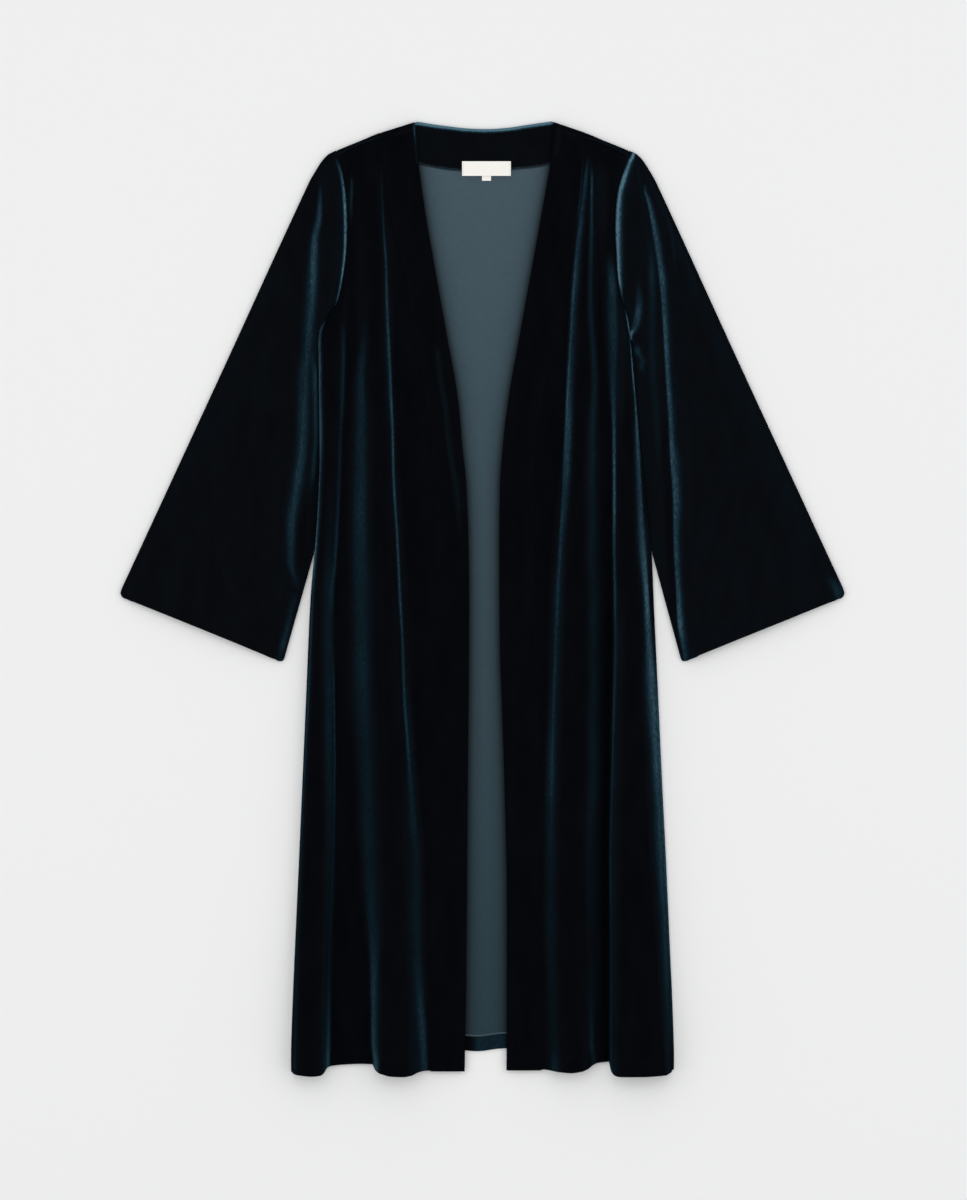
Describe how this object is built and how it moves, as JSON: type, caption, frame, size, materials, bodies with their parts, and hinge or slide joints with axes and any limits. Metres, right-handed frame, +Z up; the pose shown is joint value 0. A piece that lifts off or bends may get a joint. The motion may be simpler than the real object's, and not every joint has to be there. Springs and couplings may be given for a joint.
{
  "type": "kimono coat",
  "caption": "Midi kimono coat in dark teal stretch velvet, open front with a folded band, wide straight sleeves, laid flat.",
  "frame": {"origin": "on the floor under the middle of the coat's outline, which lies flat on its back", "axes": "+X to the wearer's left, +Y towards the neck, +Z up from the floor"},
  "size_m": [0.8674, 1.1457, 0.0341],
  "materials": {
    "velvet": "matte pile with a teal sheen",
    "woven_label": "matte"
  },
  "bodies": {
    "root": {"back_panel": "velvet", "front_panel_right": "velvet", "front_panel_left": "velvet", "sleeve_right": "velvet", "sleeve_left": "velvet", "front_band": "velvet", "back_hem_turnup": "velvet", "label": "woven_label", "label_tab": "woven_label"}
  },
  "joints": []
}
